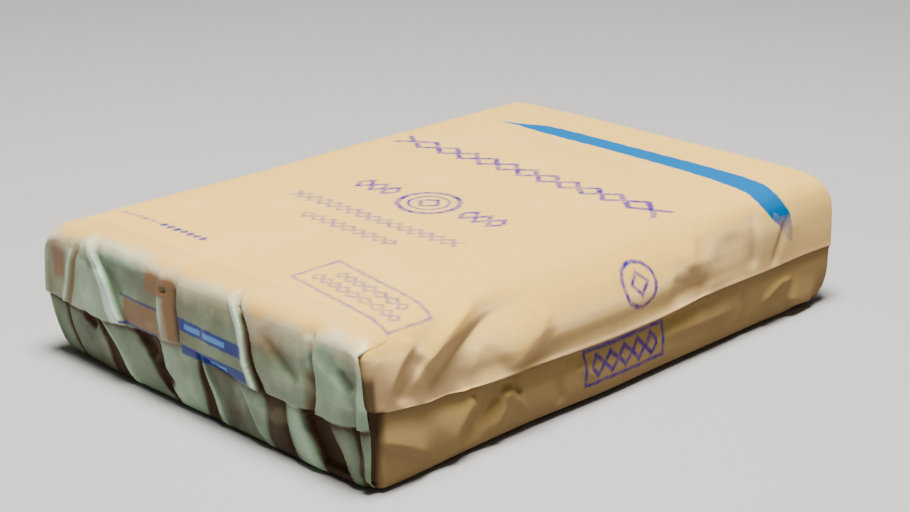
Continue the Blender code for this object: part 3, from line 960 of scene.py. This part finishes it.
# three layers of painted shade: over the panel below the fold, a painted shadow right under the fold, and
# where the body meets the near sheet
for label, strength, code in (("lower_panel_shade", 0.73, "#6E5A3C"), ("shadow", 0.7, "#33261A"),
                              ("corner", 0.94, "#33241A")):
    layer = add(tree, "Attribute", attribute_name=label)[2]
    layer = add(tree, "Math", (layer, strength), operation="MULTIPLY")[0]
    colour = add(tree, "Mix", {0: layer, 6: colour, 7: linear(code)}, data_type="RGBA")[0]
print("dust, shade and dirt take", len(tree.nodes), "nodes")

# %% Print on the sack
PRINTS = ((SACK_PRINT, 0.9, 1.0), (FAINT_PRINT, 1.2, 0.75), (WORN_PRINT, 1.6, 0.14))
x_mm, girth_mm = shaken_mm(tree, place, 120.0, 0.0028)
mottle = add(tree, "TexNoise", {"Vector": place, "Scale": 170.0, "Detail": 3.0})[0]
patchy = add(tree, "MapRange", (mottle, 0.35, 0.62, 0.6, 1.0))[0]
weights = []
for rows_of_print, softness, strength in PRINTS:
    away = print_distance(tree, rows_of_print, x_mm, girth_mm)
    ink = add(tree, "MapRange", (away, -softness, softness, strength, 0.0))[0]
    weights.append(add(tree, "Math", (ink, patchy), operation="MULTIPLY")[0])
ink = add(tree, "Math", weights[:2], operation="MAXIMUM")[0]
ink = add(tree, "Math", (ink, weights[2]), operation="MAXIMUM")[0]
tint = add(tree, "TexNoise", {"Vector": place, "Scale": 60.0, "Detail": 1.0})[0]
tint = add(tree, "MapRange", (tint, 0.4, 0.6, 0.0, 1.0))[0]
ink_colour = add(tree, "Mix", {0: tint, 6: linear("#4E2E7A"), 7: linear("#2E2474")}, data_type="RGBA")[0]
colour = add(tree, "Mix", {0: ink, 6: colour, 7: ink_colour}, data_type="RGBA")[0]
print("with its print it has", len(tree.nodes), "nodes")

# %% Stripe on the sack
girth_low, girth_high = STRIPE[0][0], STRIPE[-1][0]
share = add(tree, "MapRange", (girth_mm, girth_low, girth_high, 0.0, 1.0))[0]
curved = []
for position, least, most in ((1, 0.0, 200.0), (2, -2.0, 18.0)):
    curve = tree.nodes.new("ShaderNodeFloatCurve")
    points = curve.mapping.curves[0].points
    for number, knot in enumerate(STRIPE):
        spot = ((knot[0] - girth_low) / (girth_high - girth_low), (knot[position] - least) / (most - least))
        if number in (0, len(STRIPE) - 1):
            points[0 if number == 0 else len(points) - 1].location = spot
        else:
            points.new(*spot)
    curve.mapping.update()
    tree.links.new(share, curve.inputs[1])
    curved.append(add(tree, "MapRange", (curve.outputs[0], 0.0, 1.0, least, most), clamp=False)[0])
away = add(tree, "Math", (x_mm, curved[0]), operation="SUBTRACT")[0]
away = add(tree, "Math", (away,), operation="ABSOLUTE")[0]
away = add(tree, "Math", (away, curved[1]), operation="SUBTRACT")[0]
stripe = add(tree, "MapRange", (away, -0.8, 0.8, 1.0, 0.0))[0]
worn = add(tree, "Math", (mottle, 22.0, girth_mm), operation="MULTIPLY_ADD")[0]
worn = add(tree, "MapRange", (worn, -184.0, -166.0, 0.35, 1.0))[0]
stripe = add(tree, "Math", (stripe, worn), operation="MULTIPLY")[0]
to_violet = add(tree, "MapRange", (girth_mm, -192.0, -177.0, 1.0, 0.0))[0]
blue = add(tree, "Mix", {0: to_violet, 6: linear("#00588A"), 7: linear("#2E3A7E")}, data_type="RGBA")[0]
colour = add(tree, "Mix", {0: stripe, 6: colour, 7: blue}, data_type="RGBA")[0]
print("with the stripe it has", len(tree.nodes), "nodes")

# %% Surface of the sack paper
# pressed fibre has a grain of about 0.2 mm, drawn coarser at 1.1 mm so that it shows at all
grain = add(tree, "TexNoise", {"Vector": place, "Scale": 900.0, "Detail": 2.0})[0]
bump_out = add(tree, "Bump", {"Strength": 0.25, "Distance": 0.0003, "Height": grain})[0]
shader = add(tree, "BsdfPrincipled", {"Base Color": colour, "Roughness": 0.85, "Specular IOR Level": 0.03,
                                      "Normal": bump_out})[0]
add(tree, "OutputMaterial", (shader,))
sack.data.materials.append(paper)
print(paper.name, "has", len(tree.nodes), "nodes")

# %% [markdown]
# The near sheet has a thin grey-green coating, brushed on and dried with the paste. It gives the eye a
# soft sheen on its ridges and brown where the coating came off. Its colour also holds painted light: nearly
# white painted highlights on the ridges, dark painted shade in the hollows, where the sheen is also duller,
# and a pale painted highlight along the top rim. So one ramp turns the tone of each point into a colour,
# and the specular level follows the tone.

# %% Coated end paper
# from painted shade in the deep pleats, through the grey-green coating, to a painted highlight on the
# ridges
TONES = ((0.0, "#3C2B1C"), (0.22, "#4A4031"), (0.5, "#6E8266"), (0.72, "#98B493"), (1.0, "#DDF2E2"))
# bars without words: middle (z, y), lean, half length and width, then their colour and strength
LABEL_PRINTS = [
    ([((67.8, -20), 0.055, 29.5, 9.6), ((49.0, -21), 0.03, 31.5, 9.0)], "#0E2A78", 1.0),
    ([((68.6, -2), 0.055, 6.5, 4.0), ((67.3, -25), 0.055, 9.5, 4.0), ((48.6, -26), 0.03, 9.0, 3.6)],
     "#579AE0", 0.8),
    ([((72.0, 60.5), 0.0, 23.0, 2.2), ((51.5, 61.5), -0.02, 21.5, 2.2)], "#2C2160", 0.9),
]
coated, tree = new_material("coated end paper, pasted and dried in pleats")
kraft, place = kraft_colour(tree, 1.0)
tone_and_painted_light, bare, crown = (add(tree, "Attribute", attribute_name=label)[2] for label in ("tone_and_painted_light", "bare", "crown"))
smudge = add(tree, "TexNoise", {"Vector": place, "Scale": 45.0, "Detail": 2.0, "Roughness": 0.5})[0]
smudge = add(tree, "MapRange", (smudge, 0.3, 0.7, -0.08, 0.08))[0]
tone_and_painted_light = add(tree, "Math", (tone_and_painted_light, smudge), operation="ADD", use_clamp=True)[0]
ramp_node = tree.nodes.new("ShaderNodeValToRGB")
stops = ramp_node.color_ramp.elements
for position, _ in TONES[1:-1]:
    stops.new(position)
for stop, (position, code) in zip(stops, TONES):
    stop.position, stop.color = position, linear(code)
tree.links.new(tone_and_painted_light, ramp_node.inputs[0])
light_tone = add(tree, "MapRange", (tone_and_painted_light, 0.05, 0.45, 0.0, 1.0))[0]
bare = add(tree, "Math", (bare, light_tone), operation="MULTIPLY")[0]
colour = add(tree, "Mix", {0: bare, 6: ramp_node.outputs[0], 7: linear("#82603C")}, data_type="RGBA")[0]
print("the ramp has", len(stops), "tones")

# %% Label bars and crown
y_mm, z_mm = shaken_mm(tree, place, 140.0, 0.002)
for bars, code, strength in LABEL_PRINTS:
    # a bar is a frame of no height, filled by its stroke
    motifs = [("frame", middle, False, lean, 0.0, 0, 0, half, width) for middle, lean, half, width in bars]
    away = print_distance(tree, motifs, z_mm, y_mm)
    ink = add(tree, "MapRange", (away, -0.6, 0.6, strength, 0.0))[0]
    colour = add(tree, "Mix", {0: ink, 6: colour, 7: linear(code)}, data_type="RGBA")[0]
wave = add(tree, "TexNoise", {"Vector": place, "Scale": 45.0, "Detail": 2.0})[0]
wave = add(tree, "MapRange", (wave, 0.3, 0.7, -0.1, 0.1))[0]
ragged = add(tree, "Math", (crown, wave), operation="ADD")[0]
# painted highlight: a pale band along the top rim between the green and the kraft
painted_rim_highlight = add(tree, "MapRange", (ragged, 0.05, 0.5, 0.0, 0.7))[0]
colour = add(tree, "Mix", {0: painted_rim_highlight, 6: colour, 7: linear("#DBCFA6")}, data_type="RGBA")[0]
to_kraft = add(tree, "MapRange", (ragged, 0.5, 0.95, 0.0, 1.0))[0]
colour = add(tree, "Mix", {0: to_kraft, 6: colour, 7: kraft}, data_type="RGBA")[0]
gloss = add(tree, "MapRange", (tone_and_painted_light, 0.15, 0.7, 0.05, 0.5))[0]
shader = add(tree, "BsdfPrincipled", {"Base Color": colour, "Roughness": 0.45,
                                      "Specular IOR Level": gloss})[0]
add(tree, "OutputMaterial", (shader,))
near_cover.data.materials.append(coated)
print(coated.name, "has", len(tree.nodes), "nodes")

# %% [markdown]
# The far sheet is the same kraft without print. It gives the eye the sack's matt brown, a little
# smoother, with the faint sheen that dried paste leaves.

# %% Far end paper
plain, tree = new_material("kraft end paper, pasted")
dust_and_painted_light = add(tree, "Attribute", attribute_name="dust_and_painted_light")[2]
colour, _ = kraft_colour(tree, dust_and_painted_light)
shader = add(tree, "BsdfPrincipled", {"Base Color": colour, "Roughness": 0.85,
                                      "Specular IOR Level": 0.15})[0]
add(tree, "OutputMaterial", (shader,))
far_cover.data.materials.append(plain)
print(plain.name, "has", len(tree.nodes), "nodes")

# %% [markdown]
# The floor is a plain painted board. It gives the eye a matt, even, pale ground that takes a soft shadow
# and mirrors nothing. Light comes from a large soft box overhead, a little towards the near left, with a
# weak sky all round.

# %% Floor and light
floor_mesh = bpy.data.meshes.new("floor")
FLOOR_REACH = 12.0
floor_mesh.from_pydata([(-FLOOR_REACH, -FLOOR_REACH, 0), (FLOOR_REACH, -FLOOR_REACH, 0),
                        (FLOOR_REACH, FLOOR_REACH, 0), (-FLOOR_REACH, FLOOR_REACH, 0)], [], [(0, 1, 2, 3)])
floor = bpy.data.objects.new("floor", floor_mesh)
bpy.context.scene.collection.objects.link(floor)
floor_paint, tree = new_material("matt pale floor")
shader = add(tree, "BsdfPrincipled", {"Base Color": linear("#A5A29D"), "Roughness": 0.9})[0]
add(tree, "OutputMaterial", (shader,))
floor_mesh.materials.append(floor_paint)

world = bpy.data.worlds.new("studio air")
bpy.context.scene.world = world
world.use_nodes = True
world.node_tree.nodes["Background"].inputs[0].default_value = linear("#E8ECF0")
world.node_tree.nodes["Background"].inputs[1].default_value = 0.12


def soft_box(name, place, aim, size, watts):
    """A square area light at place that faces aim."""
    lamp = bpy.data.lights.new(name, "AREA")
    lamp.size, lamp.energy = size, watts
    holder = bpy.data.objects.new(name, lamp)
    away = np.array(place, float) - aim
    holder.location = place
    tilt = math.atan2(math.hypot(away[0], away[1]), away[2])
    holder.rotation_euler = (tilt, 0, math.atan2(away[0], -away[1]))
    bpy.context.scene.collection.objects.link(holder)


soft_box("key", (-0.25, -0.28, 2.4), (0, 0, 0), 0.8, 215)
print("one soft box lights the floor and the sack")
